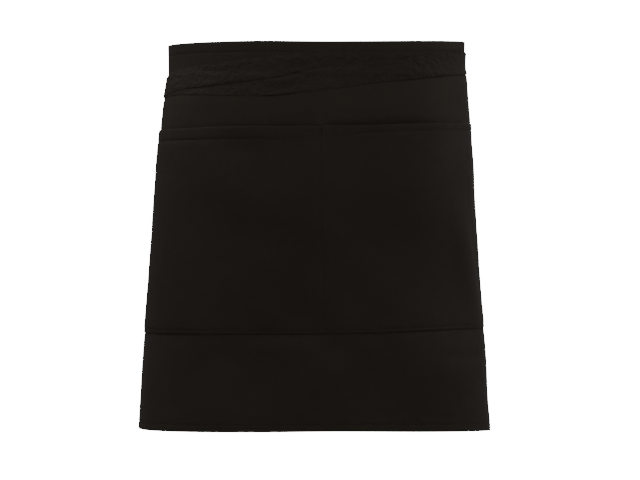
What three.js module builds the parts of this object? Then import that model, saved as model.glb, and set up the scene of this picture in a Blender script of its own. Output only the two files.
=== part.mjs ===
// A black waist apron as it is worn: a wrapped cloth panel with one wide pocket, held by two flat
// tapes that cross behind, pass over the front and are knotted at the back.
// Millimetres. +Z is up, the front faces -Y and +X is at the viewer's right.
// The origin is the middle of the waist hollow, at the height of the tapes.
import * as THREE from 'three';

// The cloth as cut and hemmed
const APRON_WIDTH = 700;
const APRON_LENGTH = 450;
const CLOTH = 1.1;
const HEM_FOLD = 0.6; // what a turned hem adds on the inner side
const SIDE_HEM = 11;
const TOP_HEM = 14;
const BOTTOM_HEM = 10.5;
const HEM_STEP = 0.8; // how wide the step is from the hem to the single cloth

// The form that the cloth is wrapped round, to its outer face
const WAIST_WIDTH = 348;
const WAIST_DEPTH = 224;
const HEM_WIDTH = 413.6;
const HEM_DEPTH = 262;
const ROUNDNESS = 2.3; // 2 is an ellipse, more is squarer
const TOP_RISE = 34.5; // the top edge at the front, above the origin

// The pocket
const POCKET_TOP = 97; // below the apron's top edge
const POCKET_HEIGHT = 239;
const POCKET_INSET = 11.5; // from the apron's side edge
const POCKET_CLOTH = 1.0;
const POCKET_HEM = 14;
const GAPE_LEFT = 1.4; // how far each half stands off at its mouth
const GAPE_RIGHT = 2.8;
const GAPE_REACH = 0.6; // the share of each half that stands off, from the middle seam

// The tapes
const TAPE_WIDTH = 25;
const TAPE = 1.1;
const SEWN_END = 26; // how much of a tape is sewn on its corner
const KNOT_WIDTH = 34;
const KNOT_HEIGHT = 30;
const KNOT_DEPTH = 11;
const TAIL_LENGTH = 105;
const TAIL_SWING = 20; // how far a tail's end lies out to its side

// Clearances, and how finely the faces follow the cloth
const CLEARANCE = 0.5;
const COLUMN_STEP = 14.6;
const TAPE_STEP = 12;
const WAIST_ROW_STEP = 12;
const ROW_STEP = 27;
const FOLD_RELIEF = 4; // the height of a fold whose share is 1

// Sections of the form. down: share of APRON_LENGTH below the top edge. wide and deep: share of the
// way from the waist's size to the hem's. aside: the section's middle, as a share of WAIST_WIDTH.
// turned: the apron's middle line from the section's, round the form, as a share of APRON_WIDTH.
const SECTIONS = [
  { down: 0, wide: 0.038, deep: 0, aside: 0.0023, turned: 0.0103 },
  { down: 0.064, wide: 0.015, deep: 0, aside: 0.0019, turned: 0.0105 },
  { down: 0.082, wide: 0.063, deep: 0.02, aside: 0.006, turned: 0.0106 },
  { down: 0.118, wide: 0.121, deep: 0.09, aside: 0.0046, turned: 0.011 },
  { down: 0.149, wide: 0.187, deep: 0.16, aside: 0.0016, turned: 0.012 },
  { down: 0.196, wide: 0.256, deep: 0.24, aside: 0.0003, turned: 0.013 },
  { down: 0.249, wide: 0.311, deep: 0.33, aside: -0.0036, turned: 0.014 },
  { down: 0.31, wide: 0.374, deep: 0.41, aside: -0.0052, turned: 0.015 },
  { down: 0.404, wide: 0.442, deep: 0.52, aside: -0.008, turned: 0.0165 },
  { down: 0.536, wide: 0.568, deep: 0.66, aside: -0.0056, turned: 0.018 },
  { down: 0.667, wide: 0.683, deep: 0.78, aside: -0.0038, turned: 0.019 },
  { down: 0.798, wide: 0.808, deep: 0.88, aside: -0.0012, turned: 0.02 },
  { down: 0.929, wide: 0.91, deep: 0.96, aside: -0.002, turned: 0.021 },
  { down: 1, wide: 0.989, deep: 1, aside: -0.0008, turned: 0.021 },
];

// Heights of the level lines of the cloth round the apron. across: share of half APRON_WIDTH from
// the middle. top, mouth, seam and hem: how far the top edge, the pocket's mouth, its lower seam and
// the bottom edge lie above their plain heights, as a share of APRON_LENGTH.
const LEVELS = [
  { across: -1, top: -0.0018, mouth: -0.0036, seam: -0.0057, hem: -0.0035 },
  { across: -0.66, top: -0.0012, mouth: -0.0036, seam: -0.005, hem: -0.0032 },
  { across: -0.5, top: 0, mouth: -0.0033, seam: -0.0047, hem: -0.0025 },
  { across: -0.22, top: 0.0015, mouth: -0.0024, seam: -0.0036, hem: 0 },
  { across: 0, top: -0.0003, mouth: -0.0015, seam: -0.0025, hem: 0.002 },
  { across: 0.15, top: 0.0006, mouth: 0.0002, seam: -0.0003, hem: 0.0012 },
  { across: 0.27, top: 0.0024, mouth: 0.004, seam: 0.0025, hem: -0.0004 },
  { across: 0.45, top: 0.006, mouth: 0.0088, seam: 0.0069, hem: -0.0029 },
  { across: 0.66, top: 0.0101, mouth: 0.011, seam: 0.0085, hem: -0.0062 },
  { across: 0.76, top: 0.0101, mouth: 0.011, seam: 0.0085, hem: -0.0084 },
  { across: 1, top: 0.0101, mouth: 0.011, seam: 0.0085, hem: -0.0094 },
];

// Folds and dents of the worn cloth. across and down: the middle, as shares of half APRON_WIDTH and
// of APRON_LENGTH. long and broad: shares of APRON_LENGTH. turn: degrees from level, rising to +X.
// out: share of FOLD_RELIEF, less than 0 for a dent.
const FOLDS = [
  { across: -0.085, down: 0.69, turn: -42, long: 0.17, broad: 0.042, out: -1.1 },
  { across: -0.23, down: 0.4, turn: -24, long: 0.13, broad: 0.06, out: 0.8 },
  { across: -0.18, down: 0.51, turn: -24, long: 0.13, broad: 0.065, out: -1.1 },
  { across: 0.29, down: 0.55, turn: -18, long: 0.18, broad: 0.12, out: -2.6 },
  { across: 0.28, down: 0.83, turn: 0, long: 0.2, broad: 0.1, out: 1.6 },
  { across: 0.525, down: 0.56, turn: -78, long: 0.13, broad: 0.038, out: 1.4 },
  { across: -0.32, down: 0.81, turn: 0, long: 0.06, broad: 0.04, out: -0.9 },
  { across: -0.3, down: 0.88, turn: 0, long: 0.1, broad: 0.06, out: -0.6 },
  { across: -0.15, down: 0.79, turn: 0, long: 0.1, broad: 0.03, out: 0.8 },
  { across: 0.03, down: 0.79, turn: 0, long: 0.035, broad: 0.025, out: -0.5 },
  { across: 0.52, down: 0.81, turn: 0, long: 0.1, broad: 0.016, out: -0.5 },
  { across: -0.25, down: 0.27, turn: -5, long: 0.08, broad: 0.03, out: -0.5 },
  { across: -0.52, down: 0.045, turn: 60, long: 0.05, broad: 0.04, out: -0.4 },
  { across: 0.72, down: 0.36, turn: 84, long: 0.14, broad: 0.04, out: 0.5 },
  { across: -0.7, down: 0.42, turn: 82, long: 0.16, broad: 0.045, out: -0.5 },
  { across: -0.86, down: 0.86, turn: 88, long: 0.24, broad: 0.07, out: 1.0 },
  { across: 0.86, down: 0.84, turn: -86, long: 0.22, broad: 0.07, out: 1.1 },
  { across: -0.12, down: 1, turn: 0, long: 0.2, broad: 0.07, out: 0.8 },
];

// The way of each tape from its sewn corner round to the knot. round: turns of the form, counted the
// tape's own way from the front, 0.5 behind and 1 at the front again. rise: the tape's middle above
// the origin, and wide: its width where it is drawn together, both as shares of TAPE_WIDTH. layer:
// how many tapes lie under it. The tapes change places where they run side by side.
const TIE_LEFT_WAY = [
  { round: 0.45, rise: 0.84, wide: 1, layer: 0 },
  { round: 0.495, rise: 0.82, wide: 1, layer: 1 },
  { round: 0.555, rise: 0.75, wide: 1, layer: 1 },
  { round: 0.66, rise: 0.62, wide: 1, layer: 1 },
  { round: 0.7, rise: 0.58, wide: 1, layer: 0 },
  { round: 0.78, rise: 0.55, wide: 1, layer: 0 },
  { round: 0.8, rise: 0.51, wide: 1, layer: 0 },
  { round: 0.826, rise: 0.43, wide: 1, layer: 0 },
  { round: 0.851, rise: 0.355, wide: 1, layer: 0 },
  { round: 0.894, rise: 0.314, wide: 1, layer: 0 },
  { round: 0.942, rise: 0.288, wide: 1, layer: 0 },
  { round: 0.992, rise: 0.276, wide: 1, layer: 0 },
  { round: 1.008, rise: 0.28, wide: 1, layer: 0 },
  { round: 1.0235, rise: 0.366, wide: 0.8, layer: 0 },
  { round: 1.039, rise: 0.27, wide: 0.92, layer: 0.5 },
  { round: 1.0548, rise: 0.2, wide: 1, layer: 1 },
  { round: 1.0704, rise: 0.13, wide: 1, layer: 1 },
  { round: 1.108, rise: -0.03, wide: 1, layer: 1 },
  { round: 1.14, rise: -0.16, wide: 1, layer: 1 },
  { round: 1.169, rise: -0.24, wide: 1, layer: 1 },
  { round: 1.19, rise: -0.33, wide: 1, layer: 1 },
  { round: 1.214, rise: -0.47, wide: 1, layer: 1 },
  { round: 1.24, rise: -0.57, wide: 1, layer: 1 },
  { round: 1.28, rise: -0.58, wide: 1, layer: 1 },
  { round: 1.38, rise: -0.38, wide: 1, layer: 1 },
  { round: 1.44, rise: 0.02, wide: 1, layer: 2 },
  { round: 1.47, rise: 0.1, wide: 1, layer: 2 },
  { round: 1.5, rise: 0.1, wide: 1, layer: 2 },
];
const TIE_RIGHT_WAY = [
  { round: 0.5, rise: -0.46, wide: 1, layer: 0 },
  { round: 0.66, rise: -0.6, wide: 1, layer: 0 },
  { round: 0.76, rise: -0.62, wide: 1, layer: 0 },
  { round: 0.79, rise: -0.59, wide: 1, layer: 0 },
  { round: 0.81, rise: -0.53, wide: 1, layer: 0 },
  { round: 0.85, rise: -0.545, wide: 1, layer: 0 },
  { round: 0.894, rise: -0.6, wide: 1, layer: 0 },
  { round: 0.9296, rise: -0.62, wide: 1, layer: 0 },
  { round: 0.9452, rise: -0.72, wide: 0.78, layer: 0 },
  { round: 0.961, rise: -0.648, wide: 0.85, layer: 0.5 },
  { round: 0.9765, rise: -0.53, wide: 0.92, layer: 1 },
  { round: 0.992, rise: -0.45, wide: 1, layer: 1 },
  { round: 1.008, rise: -0.365, wide: 1, layer: 1 },
  { round: 1.032, rise: -0.256, wide: 1, layer: 1 },
  { round: 1.055, rise: -0.115, wide: 1, layer: 1 },
  { round: 1.077, rise: -0.006, wide: 1, layer: 1 },
  { round: 1.104, rise: 0.1, wide: 1, layer: 1 },
  { round: 1.145, rise: 0.27, wide: 1, layer: 1 },
  { round: 1.17, rise: 0.365, wide: 1, layer: 1 },
  { round: 1.2, rise: 0.44, wide: 1, layer: 1 },
  { round: 1.22, rise: 0.49, wide: 1, layer: 1 },
  { round: 1.26, rise: 0.53, wide: 1, layer: 1 },
  { round: 1.33, rise: 0.5, wide: 1, layer: 2 },
  { round: 1.43, rise: 0.2, wide: 1, layer: 2 },
  { round: 1.47, rise: 0.1, wide: 1, layer: 2 },
  { round: 1.5, rise: 0.1, wide: 1, layer: 2 },
];

// A table as a smooth curve: gives every column's value at any place of its key column
function curveOf(rows, key) {
  const columns = Object.keys(rows[0]).filter((name) => name !== key);
  const curve = new THREE.CubicInterpolant(
    rows.map((row) => row[key]),
    rows.flatMap((row) => columns.map((name) => row[name])),
    columns.length,
    new Float64Array(columns.length),
  );
  return (place) => {
    const values = curve.evaluate(place);
    return Object.fromEntries(columns.map((name, i) => [name, values[i]]));
  };
}

const sectionCurve = curveOf(SECTIONS, 'down');
const levelCurve = curveOf(LEVELS, 'across');

// The form's section at a height, as points with their distances round it, from the front to +X
const RING_POINTS = 480;
function ringAt(z) {
  const share = sectionCurve((TOP_RISE - z) / APRON_LENGTH);
  const halfWidth = THREE.MathUtils.lerp(WAIST_WIDTH, HEM_WIDTH, share.wide) / 2;
  const halfDepth = THREE.MathUtils.lerp(WAIST_DEPTH, HEM_DEPTH, share.deep) / 2;
  const points = [];
  const lengths = [];
  for (let i = 0; i <= RING_POINTS; i += 1) {
    const angle = (2 * Math.PI * i) / RING_POINTS;
    const across = Math.sign(Math.sin(angle)) * Math.abs(Math.sin(angle)) ** (2 / ROUNDNESS);
    const inward = Math.sign(Math.cos(angle)) * Math.abs(Math.cos(angle)) ** (2 / ROUNDNESS);
    points.push(new THREE.Vector2(halfWidth * across, -halfDepth * inward));
    lengths.push(i === 0 ? 0 : lengths[i - 1] + points[i].distanceTo(points[i - 1]));
  }
  return {
    points,
    lengths,
    halfWidth,
    halfDepth,
    round: lengths[RING_POINTS],
    aside: share.aside * WAIST_WIDTH,
    middle: share.turned * APRON_WIDTH, // distance round the form to the apron's middle line
  };
}

// How far the folds lift the cloth
function relief(across, down) {
  let lift = 0;
  for (const fold of FOLDS) {
    const x = ((across - fold.across) * APRON_WIDTH) / 2;
    const y = (fold.down - down) * APRON_LENGTH;
    const angle = THREE.MathUtils.degToRad(fold.turn);
    const along = (x * Math.cos(angle) + y * Math.sin(angle)) / (fold.long * APRON_LENGTH);
    const beside = (y * Math.cos(angle) - x * Math.sin(angle)) / (fold.broad * APRON_LENGTH);
    lift += fold.out * FOLD_RELIEF * Math.exp(-along * along - beside * beside);
  }
  return lift;
}

// A point of the worn cloth's outer face: 'way' round the form from its front, at height z, lifted
// outwards. The lift is level, square to the section.
function skin(way, z, lift) {
  const ring = ringAt(z);
  const place = THREE.MathUtils.euclideanModulo(way, ring.round);
  let next = 1;
  while (ring.lengths[next] < place) next += 1;
  const share = (place - ring.lengths[next - 1]) / (ring.lengths[next] - ring.lengths[next - 1]);
  const spot = ring.points[next - 1].clone().lerp(ring.points[next], share);
  const out = new THREE.Vector2(
    Math.sign(spot.x) * Math.abs(spot.x / ring.halfWidth) ** (ROUNDNESS - 1) / ring.halfWidth,
    Math.sign(spot.y) * Math.abs(spot.y / ring.halfDepth) ** (ROUNDNESS - 1) / ring.halfDepth,
  ).normalize();
  const behind = place > ring.round / 2 ? place - ring.round : place;
  const across = (behind - ring.middle) / (APRON_WIDTH / 2);
  const full = lift + relief(across, (TOP_RISE - z) / APRON_LENGTH);
  return new THREE.Vector3(ring.aside + spot.x + out.x * full, spot.y + out.y * full, z);
}

// How far a place of the cloth lies above its plain height
function levelRise(across, down) {
  const level = levelCurve(across / (APRON_WIDTH / 2));
  const downs = [0, POCKET_TOP, POCKET_TOP + POCKET_HEIGHT, APRON_LENGTH];
  const rises = [level.top, level.mouth, level.seam, level.hem];
  const rise = rises.reduce((sum, next, i) => {
    const share = (down - downs[i - 1]) / (downs[i] - downs[i - 1]);
    return sum + (next - rises[i - 1]) * THREE.MathUtils.clamp(share, 0, 1);
  });
  return rise * APRON_LENGTH;
}

// A point of the apron's cloth, by its place on the flat cloth: across from the middle line and down
// from the top edge
function clothPoint(across, down, lift) {
  const z = TOP_RISE + levelRise(across, down) - down;
  return skin(ringAt(z).middle + across, z, lift);
}

// Evenly spread places from one length to another, both ends included
function spread(from, to, step) {
  const parts = Math.max(1, Math.round((to - from) / step));
  return Array.from({ length: parts + 1 }, (_, i) => from + ((to - from) * i) / parts);
}

// A closed thin wall over a grid. pointAt(column, row, face) gives its points, face 1 outside and 0
// inside. Columns run towards +X at the front and rows run down.
function wallGeometry(columns, rows, pointAt) {
  const positions = [];
  for (const face of [1, 0]) {
    for (let row = 0; row < rows; row += 1) {
      for (let column = 0; column < columns; column += 1) {
        positions.push(...pointAt(column, row, face).toArray());
      }
    }
  }
  const id = (column, row, face) => (1 - face) * rows * columns + row * columns + column;
  const triangles = [];
  const quad = (a, b, c, d) => triangles.push(a, b, c, a, c, d);
  for (let row = 1; row < rows; row += 1) {
    for (let column = 1; column < columns; column += 1) {
      const corners = [[column - 1, row - 1], [column - 1, row], [column, row], [column, row - 1]];
      quad(...corners.map(([x, y]) => id(x, y, 1)));
      const [a, b, c, d] = corners.map(([x, y]) => id(x, y, 0));
      triangles.push(a, c, b, a, d, c);
    }
  }
  for (let column = 1; column < columns; column += 1) {
    const [left, right, last] = [column - 1, column, rows - 1];
    quad(id(left, 0, 0), id(left, 0, 1), id(right, 0, 1), id(right, 0, 0));
    quad(id(left, last, 1), id(left, last, 0), id(right, last, 0), id(right, last, 1));
  }
  for (let row = 1; row < rows; row += 1) {
    const [above, below, last] = [row - 1, row, columns - 1];
    quad(id(0, above, 0), id(0, below, 0), id(0, below, 1), id(0, above, 1));
    quad(id(last, above, 1), id(last, below, 1), id(last, below, 0), id(last, above, 0));
  }
  const geometry = new THREE.BufferGeometry();
  geometry.setAttribute('position', new THREE.Float32BufferAttribute(positions, 3));
  geometry.setIndex(triangles);
  geometry.computeVertexNormals();
  return geometry;
}

// Materials: near-black twill, and the slightly lighter and coarser tape
const twill = () => new THREE.MeshStandardMaterial({ color: 0x161412, roughness: 0.9, metalness: 0 });
const webbing = () => new THREE.MeshStandardMaterial({ color: 0x1a1816, roughness: 0.94, metalness: 0 });

function piece(name, geometry, material) {
  const mesh = new THREE.Mesh(geometry, material);
  mesh.name = name;
  return mesh;
}

// The columns and rows that the panel and the pocket share, so that the two lie parallel. Columns
// are counted from the middle line, and rows from the pocket's top edge.
function sharedColumns(reach) {
  const count = Math.floor((reach - 2 * HEM_STEP) / COLUMN_STEP);
  return Array.from({ length: 2 * count + 1 }, (_, i) => (i - count) * COLUMN_STEP);
}
const POCKET_LAST = POCKET_HEIGHT - SIDE_HEM;
const SHARED_ROWS = [0, POCKET_HEM, ...spread(POCKET_HEM, POCKET_LAST, ROW_STEP).slice(1), POCKET_HEIGHT];

// The panel: its outer face is the form's skin, and hems turned to the inside thicken its edges
function apronPanel() {
  const half = APRON_WIDTH / 2;
  const inner = half - SIDE_HEM;
  const lastRow = APRON_LENGTH - BOTTOM_HEM;
  const columns = [-half, -inner, HEM_STEP - inner, ...sharedColumns(inner), inner - HEM_STEP, inner, half];
  const rows = [
    0,
    TOP_HEM,
    ...spread(TOP_HEM + HEM_STEP, POCKET_TOP, WAIST_ROW_STEP),
    ...SHARED_ROWS.slice(1).map((row) => POCKET_TOP + row),
    ...spread(POCKET_TOP + POCKET_HEIGHT, lastRow - HEM_STEP, ROW_STEP).slice(1),
    lastRow,
    APRON_LENGTH,
  ];
  return wallGeometry(columns.length, rows.length, (i, j, face) => {
    const hemmed = Math.abs(columns[i]) >= inner || rows[j] <= TOP_HEM || rows[j] >= lastRow;
    const depth = hemmed ? CLOTH + HEM_FOLD : CLOTH;
    return clothPoint(columns[i], rows[j], face ? 0 : -depth);
  });
}

// How far the pocket's cloth stands off the panel: held at the sides, the middle and the bottom,
// slack at each half's mouth
function pocketGape(across, down) {
  const half = APRON_WIDTH / 2 - POCKET_INSET;
  const gape = across < 0 ? GAPE_LEFT : GAPE_RIGHT;
  const swell = Math.sin(Math.PI * Math.min(1, Math.abs(across) / half / GAPE_REACH)) ** 2;
  return gape * swell * (1 - down / POCKET_HEIGHT) ** 1.5;
}

function pocket() {
  const half = APRON_WIDTH / 2 - POCKET_INSET;
  const inner = half - SIDE_HEM;
  const columns = [-half, -inner, HEM_STEP - inner, ...sharedColumns(inner), inner - HEM_STEP, inner, half];
  const rows = SHARED_ROWS.toSpliced(2, 0, POCKET_HEM + HEM_STEP).toSpliced(-2, 0, POCKET_LAST - HEM_STEP);
  return wallGeometry(columns.length, rows.length, (i, j, face) => {
    const [across, down] = [columns[i], rows[j]];
    const hemmed = Math.abs(across) >= inner || down <= POCKET_HEM || down >= POCKET_LAST;
    const outer = CLEARANCE + HEM_FOLD + POCKET_CLOTH + pocketGape(across, down);
    const depth = hemmed ? POCKET_CLOTH + HEM_FOLD : POCKET_CLOTH;
    return clothPoint(across, POCKET_TOP + down, face ? outer : outer - depth);
  });
}

// How high a layer of tape lies over the cloth, to its inner face
const layerLift = (layer) => CLEARANCE + layer * (TAPE + CLEARANCE);

// A point over the form's skin, by turns of the form from its front
const roundSkin = (round, z, lift) => skin(round * ringAt(z).round, z, lift);

// A flat tape along stations of { round, z, lift, wide }, three lines over its width
const TAPE_LINES = [0.5, 0, -0.5];
function tapeGeometry(stations) {
  const last = stations.length - 1;
  const waist = ringAt(0).round;
  return wallGeometry(stations.length, TAPE_LINES.length, (i, j, face) => {
    const [before, after] = [stations[Math.max(0, i - 1)], stations[Math.min(last, i + 1)]];
    const run = new THREE.Vector2((after.round - before.round) * waist, after.z - before.z).normalize();
    const { round, z, lift, wide } = stations[i];
    const beside = TAPE_LINES[j] * TAPE_WIDTH * wide;
    return roundSkin(round - (run.y * beside) / waist, z + run.x * beside, lift + (face ? TAPE : 0));
  });
}

// Where a place near the apron's side edge lies, in turns of the form from its front. side: -1 is
// the viewer's left and 1 the right
function cornerRound(side, fromEdge) {
  const ring = ringAt(TOP_RISE - TOP_HEM);
  return (APRON_WIDTH / 2 - fromEdge + side * ring.middle) / ring.round;
}

// A tie from its sewn end to the knot. side: the corner that it is sewn to
function tieGeometry(side, table) {
  const sewnTop = TOP_RISE + levelRise((side * APRON_WIDTH) / 2, 0) - CLEARANCE;
  const sewn = { rise: sewnTop / TAPE_WIDTH - 0.5, wide: 1, layer: 0 };
  const waist = ringAt(0).round;
  const leastRun = HEM_STEP / waist;
  const corner = cornerRound(side, 0);
  const rows = [
    { round: cornerRound(side, SEWN_END), ...sewn },
    { round: corner, ...sewn },
    ...table.filter((row) => row.round > corner + leastRun),
  ];
  const route = curveOf(rows, 'round');
  const knotRound = table.at(-1).round - (KNOT_WIDTH / 2 + CLEARANCE) / waist;
  const marks = rows.map((row) => row.round).filter((round) => round < knotRound - leastRun);
  marks.push(knotRound);
  const rounds = marks.slice(1).flatMap((mark, i) => (
    spread(marks[i], mark, TAPE_STEP / waist).slice(i === 0 ? 0 : 1)));
  const stations = rounds.map((round) => {
    const { rise, wide, layer } = route(round);
    return { round: side * round, z: rise * TAPE_WIDTH, lift: layerLift(layer), wide };
  });
  return tapeGeometry(side < 0 ? stations.reverse() : stations);
}

// The knot: a plain rounded pad over both tapes' first lap, with its middle between the two ends
const KNOT_RISE = TIE_LEFT_WAY.at(-1).rise * TAPE_WIDTH;
const KNOT_PARTS = 8;
function knotGeometry() {
  const waist = ringAt(0).round;
  const places = spread(-1, 1, 2 / KNOT_PARTS);
  return wallGeometry(places.length, places.length, (i, j, face) => {
    const dome = Math.sqrt((1 - places[i] ** 2) * (1 - places[j] ** 2));
    const crown = 2 * TAPE + (KNOT_DEPTH - 2 * TAPE) * dome;
    const round = 0.5 + (places[i] * KNOT_WIDTH) / 2 / waist;
    const z = KNOT_RISE - (places[j] * KNOT_HEIGHT) / 2;
    return roundSkin(round, z, layerLift(2) + (face ? crown : 0));
  });
}

// A tail hangs from the knot, and its end swings a little away from the other
function tailGeometry(side) {
  const waist = ringAt(0).round;
  const top = KNOT_RISE - KNOT_HEIGHT / 2 - CLEARANCE;
  const stations = spread(0, TAIL_LENGTH, COLUMN_STEP).map((down) => ({
    round: 0.5 - (side * (TAPE_WIDTH / 4 + TAIL_SWING * (down / TAIL_LENGTH) ** 3)) / waist,
    z: top - down,
    lift: layerLift(side < 0 ? 2 : 3),
    wide: 1,
  }));
  return tapeGeometry(stations);
}

const apron = new THREE.Group();
apron.name = 'waist_apron';
apron.add(piece('apron_panel', apronPanel(), twill()));
apron.add(piece('pocket', pocket(), twill()));
apron.add(piece('tie_left', tieGeometry(-1, TIE_LEFT_WAY), webbing()));
apron.add(piece('tie_right', tieGeometry(1, TIE_RIGHT_WAY), webbing()));
apron.add(piece('tie_knot', knotGeometry(), webbing()));
apron.add(piece('tail_left', tailGeometry(-1), webbing()));
apron.add(piece('tail_right', tailGeometry(1), webbing()));

export default apron;
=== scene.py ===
import math
import random

import bmesh
import bpy
import numpy as np
from mathutils import Matrix, Vector


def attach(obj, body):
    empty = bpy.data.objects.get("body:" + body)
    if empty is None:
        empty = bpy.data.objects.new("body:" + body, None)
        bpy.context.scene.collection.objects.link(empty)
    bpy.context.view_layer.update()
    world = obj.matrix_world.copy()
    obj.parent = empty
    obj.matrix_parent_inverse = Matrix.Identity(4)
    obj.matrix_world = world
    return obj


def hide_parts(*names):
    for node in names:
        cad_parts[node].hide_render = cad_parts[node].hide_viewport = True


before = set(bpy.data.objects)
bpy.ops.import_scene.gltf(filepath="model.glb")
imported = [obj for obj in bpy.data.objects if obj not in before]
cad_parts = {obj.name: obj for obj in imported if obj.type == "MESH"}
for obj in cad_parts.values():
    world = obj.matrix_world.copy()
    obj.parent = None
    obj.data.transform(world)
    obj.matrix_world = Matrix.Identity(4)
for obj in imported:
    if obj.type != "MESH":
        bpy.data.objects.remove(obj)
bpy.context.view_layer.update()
random.seed(11)

MM = 0.001

# The camera, floor and lights

camera = bpy.data.objects.new("camera", bpy.data.cameras.new("camera"))
bpy.context.scene.collection.objects.link(camera)
camera.location = (0.00507, -4.5, -0.1947)
camera.rotation_euler = (math.radians(90), 0, 0)
camera.data.lens = 214.5
camera.data.sensor_width = 36
camera.data.clip_end = 60
bpy.context.scene.camera = camera


def plain_material(name, colour, roughness):
    material = bpy.data.materials.new(name)
    material.use_nodes = True
    shader = material.node_tree.nodes["Principled BSDF"]
    shader.inputs["Base Color"].default_value = (*colour, 1)
    shader.inputs["Roughness"].default_value = roughness
    return material


floor_disc = bmesh.new()
bmesh.ops.create_circle(floor_disc, cap_ends=True, segments=96, radius=5)
bmesh.ops.translate(floor_disc, verts=floor_disc.verts, vec=(0, 0, -0.9))
floor_mesh = bpy.data.meshes.new("floor")
floor_disc.to_mesh(floor_mesh)
floor_disc.free()
floor = bpy.data.objects.new("floor", floor_mesh)
bpy.context.scene.collection.objects.link(floor)
floor_mesh.materials.append(plain_material("studio_floor", (0.82, 0.82, 0.82), 0.9))


def soft_light(name, place, target, size, power):
    lamp = bpy.data.lights.new(name, "AREA")
    lamp.shape = "RECTANGLE"
    lamp.size, lamp.size_y = size
    lamp.energy = power
    light = bpy.data.objects.new(name, lamp)
    bpy.context.scene.collection.objects.link(light)
    light.location = place
    aim = Vector(target) - Vector(place)
    light.rotation_euler = aim.to_track_quat("-Z", "Y").to_euler()
    return light


MIDDLE = (0, 0, -0.2)
soft_light("left_side_light", (-0.95, 0.12, 1.05), MIDDLE, (0.6, 0.6), 14.5)
soft_light("right_side_light", (1.2, 0.1, 0.36), MIDDLE, (0.7, 0.7), 8.3)
soft_light("front_light", (-0.1, -1.7, 1.1), MIDDLE, (1.6, 1.0), 14)
soft_light("near_top_light", (-0.1, -0.8, 0.75), (0, -0.1, -0.05), (0.9, 0.4), 3.7)
soft_light("rear_light", (0.4, 2.8, 1.6), MIDDLE, (2.0, 1.6), 40)

world = bpy.data.worlds.new("white_studio")
bpy.context.scene.world = world
world.use_nodes = True
sky = world.node_tree
sky.nodes.clear()
seen = sky.nodes.new("ShaderNodeBackground")
seen.inputs["Color"].default_value = (1, 1, 1, 1)
seen.inputs["Strength"].default_value = 20.0
fill = sky.nodes.new("ShaderNodeBackground")
fill.inputs["Color"].default_value = (1, 1, 1, 1)
fill.inputs["Strength"].default_value = 0.15
rays = sky.nodes.new("ShaderNodeLightPath")
either = sky.nodes.new("ShaderNodeMixShader")
out = sky.nodes.new("ShaderNodeOutputWorld")
sky.links.new(rays.outputs["Is Camera Ray"], either.inputs["Fac"])
sky.links.new(fill.outputs["Background"], either.inputs[1])
sky.links.new(seen.outputs["Background"], either.inputs[2])
sky.links.new(either.outputs["Shader"], out.inputs["Surface"])

# The form that the cloth wraps

APRON_WIDTH, APRON_LENGTH = 0.7, 0.45
HALF = APRON_WIDTH / 2
WAIST_WIDTH, WAIST_DEPTH = 0.348, 0.224
HEM_WIDTH, HEM_DEPTH = 0.4136, 0.262
ROUNDNESS = 2.3
TOP_RISE = 0.0345
POCKET_TOP, POCKET_HEIGHT = 0.097, 0.239
POCKET_HALF = HALF - 0.0115
GAPE_REACH = 0.6
SEAM_DOWN = POCKET_TOP + POCKET_HEIGHT
LEVEL_DOWNS = (0, POCKET_TOP, SEAM_DOWN, APRON_LENGTH)
FOLD_RELIEF = 0.004
TAPE_WIDTH = 0.025

# down, wide, deep, aside, turned
SECTIONS = [
    (0, 0.038, 0, 0.0023, 0.0103),
    (0.064, 0.015, 0, 0.0019, 0.0105),
    (0.082, 0.063, 0.02, 0.006, 0.0106),
    (0.118, 0.121, 0.09, 0.0046, 0.011),
    (0.149, 0.187, 0.16, 0.0016, 0.012),
    (0.196, 0.256, 0.24, 0.0003, 0.013),
    (0.249, 0.311, 0.33, -0.0036, 0.014),
    (0.31, 0.374, 0.41, -0.0052, 0.015),
    (0.404, 0.442, 0.52, -0.008, 0.0165),
    (0.536, 0.568, 0.66, -0.0056, 0.018),
    (0.667, 0.683, 0.78, -0.0038, 0.019),
    (0.798, 0.808, 0.88, -0.0012, 0.02),
    (0.929, 0.91, 0.96, -0.002, 0.021),
    (1, 0.989, 1, -0.0008, 0.021),
]

# across, top, mouth, seam, hem: rises of the level lines, as shares of the apron's length
LEVELS = [
    (-1, -0.0018, -0.0036, -0.0057, -0.0035),
    (-0.66, -0.0012, -0.0036, -0.005, -0.0032),
    (-0.5, 0, -0.0033, -0.0047, -0.0025),
    (-0.22, 0.0015, -0.0024, -0.0036, 0),
    (0, -0.0003, -0.0015, -0.0025, 0.002),
    (0.15, 0.0006, 0.0002, -0.0003, 0.0012),
    (0.27, 0.0024, 0.004, 0.0025, -0.0004),
    (0.45, 0.006, 0.0088, 0.0069, -0.0029),
    (0.66, 0.0101, 0.011, 0.0085, -0.0062),
    (0.76, 0.0101, 0.011, 0.0085, -0.0084),
    (1, 0.0101, 0.011, 0.0085, -0.0094),
]

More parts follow.
